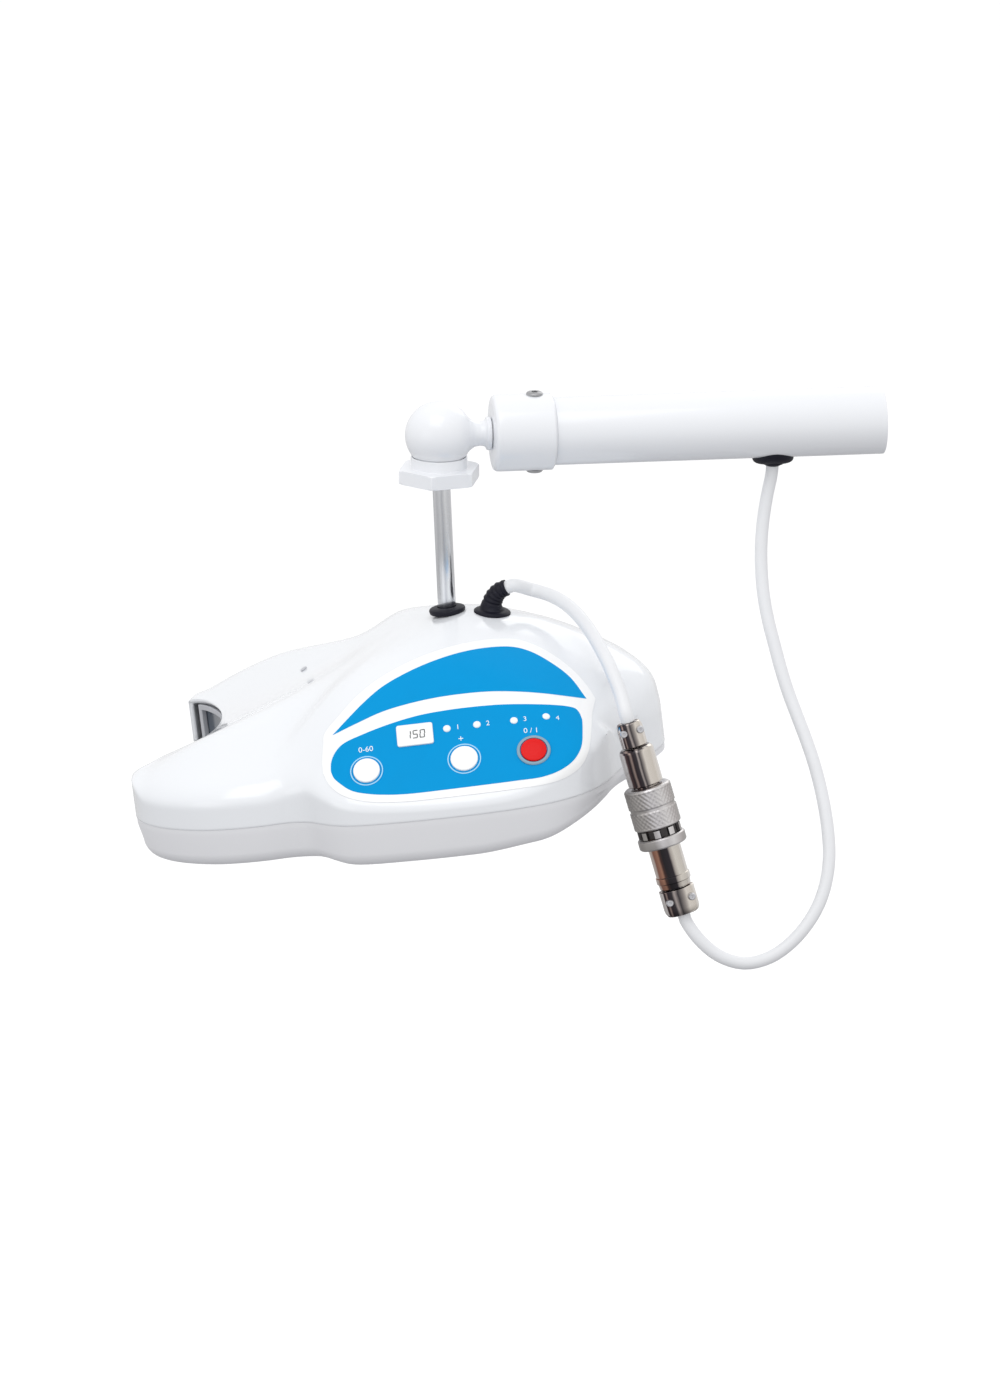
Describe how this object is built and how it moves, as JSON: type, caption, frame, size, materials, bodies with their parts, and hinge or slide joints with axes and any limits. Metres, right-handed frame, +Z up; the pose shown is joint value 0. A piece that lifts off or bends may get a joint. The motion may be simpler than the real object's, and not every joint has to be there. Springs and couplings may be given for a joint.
{
  "type": "teeth whitening lamp",
  "caption": "Dental whitening lamp head with a curved light window and push-button panel, hung by a ball joint and rod from a horizontal arm tube, with a cable connector.",
  "frame": {"origin": "centre of the arm tube's open end, where it slides onto the stand's arm", "axes": "+X out of the open end of the tube, along the tube; +Z up; the push-button panel faces -Y and the light window faces -X"},
  "size_m": [0.3372, 0.2308, 0.2371],
  "materials": {
    "arm_paint": "gloss",
    "collar_screws": "black oxide",
    "black_rubber": "matte",
    "cable_jacket": "satin",
    "chrome": "polished",
    "nylon": "satin",
    "zinc_steel": "zinc plated",
    "brass": "turned",
    "upper_white": "gloss",
    "lower_white": "satin",
    "window_grey": "satin",
    "dark_lens": "smooth",
    "clear_lens": "smooth",
    "circuit_board": "solder mask",
    "heat_sink": "extruded",
    "black_plastic": "moulded",
    "display": "satin",
    "panel_blue": "printed film",
    "button_white": "gloss",
    "button_red": "gloss",
    "nickel": "nickel plated",
    "dark_ring": "blackened"
  },
  "bodies": {
    "arm": {"arm_tube": "arm_paint", "tube_collar": "arm_paint", "collar_screw_top": "collar_screws", "collar_screw_bottom": "collar_screws", "cable_grommet": "black_rubber", "lower_cable": "cable_jacket"},
    "ball_housing": {"ball_housing": "arm_paint", "stem_nut": "zinc_steel", "clamp_nut": "arm_paint", "ball_seat": "nylon"},
    "drop_rod": {"drop_rod": "chrome", "rod_retaining_ring": "zinc_steel", "cable_clamp_upper": "nickel", "plug_barrel": "nickel", "contact_insert": "black_plastic", "lock_ring": "dark_ring", "receptacle_ring": "nickel", "receptacle_barrel": "nickel", "cable_clamp_lower": "nickel", "clamp_screw_1": "zinc_steel", "clamp_screw_2": "zinc_steel", "clamp_screw_3": "zinc_steel", "clamp_screw_4": "zinc_steel"},
    "head": {"strain_relief": "black_rubber", "rod_grommet": "black_rubber", "upper_cable": "cable_jacket", "rod_bracket": "zinc_steel", "bracket_screw_1": "zinc_steel", "bracket_screw_2": "zinc_steel", "case_screw_1": "zinc_steel", "case_screw_2": "zinc_steel", "case_screw_3": "zinc_steel", "case_screw_4": "zinc_steel", "swivel_bush": "brass", "upper_shell": "upper_white", "lower_shell": "lower_white", "window_frame": "window_grey", "arc_lens": "dark_lens", "led_lens_strip": "clear_lens", "indicator_light_1": "clear_lens", "indicator_light_2": "clear_lens", "indicator_light_3": "clear_lens", "indicator_light_4": "clear_lens", "display_window": "clear_lens", "led_board": "circuit_board", "driver_board": "circuit_board", "control_board": "circuit_board", "heat_sink": "heat_sink", "timer_switch": "black_plastic", "set_switch": "black_plastic", "power_switch": "black_plastic", "display_module": "display", "label_panel": "panel_blue", "timer_bezel": "button_white", "set_bezel": "button_white", "power_bezel": "button_white"},
    "coupling_nut": {"coupling_nut": "nickel"},
    "timer_button": {"timer_button": "button_white"},
    "set_button": {"set_button": "button_white"},
    "power_button": {"power_button": "button_red"}
  },
  "joints": [
    {"name": "ball_roll", "type": "hinge", "parent": "arm", "child": "ball_housing", "pos_m": [-0.198, 0, 0], "axis": [1, 0, 0], "range_deg": [-30, 30]},
    {"name": "rod_tilt", "type": "hinge", "parent": "ball_housing", "child": "drop_rod", "pos_m": [-0.198, 0, 0], "axis": [0, 1, 0], "range_deg": [-17, 22], "deforming": ["lower_cable"]},
    {"name": "head_swivel", "type": "hinge", "parent": "drop_rod", "child": "head", "pos_m": [-0.19458, 0, -0.07895], "axis": [-0.0433, 0, 0.9991], "range_deg": [-55, 50], "deforming": ["upper_cable"]},
    {"name": "timer_button_press", "type": "slide", "parent": "head", "child": "timer_button", "axis": [0.1879, 0.7081, -0.6806], "range_m": [0, 0.001], "stiffness_N_per_m": 800},
    {"name": "set_button_press", "type": "slide", "parent": "head", "child": "set_button", "axis": [0.1879, 0.7081, -0.6806], "range_m": [0, 0.001], "stiffness_N_per_m": 800},
    {"name": "power_button_press", "type": "slide", "parent": "head", "child": "power_button", "axis": [0.1879, 0.7081, -0.6806], "range_m": [0, 0.001], "stiffness_N_per_m": 800},
    {"name": "coupling_nut_turn", "type": "hinge", "parent": "drop_rod", "child": "coupling_nut", "pos_m": [-0.11706, -0.09375, -0.14521], "axis": [-0.261, 0.1344, 0.9559], "continuous": true}
  ]
}
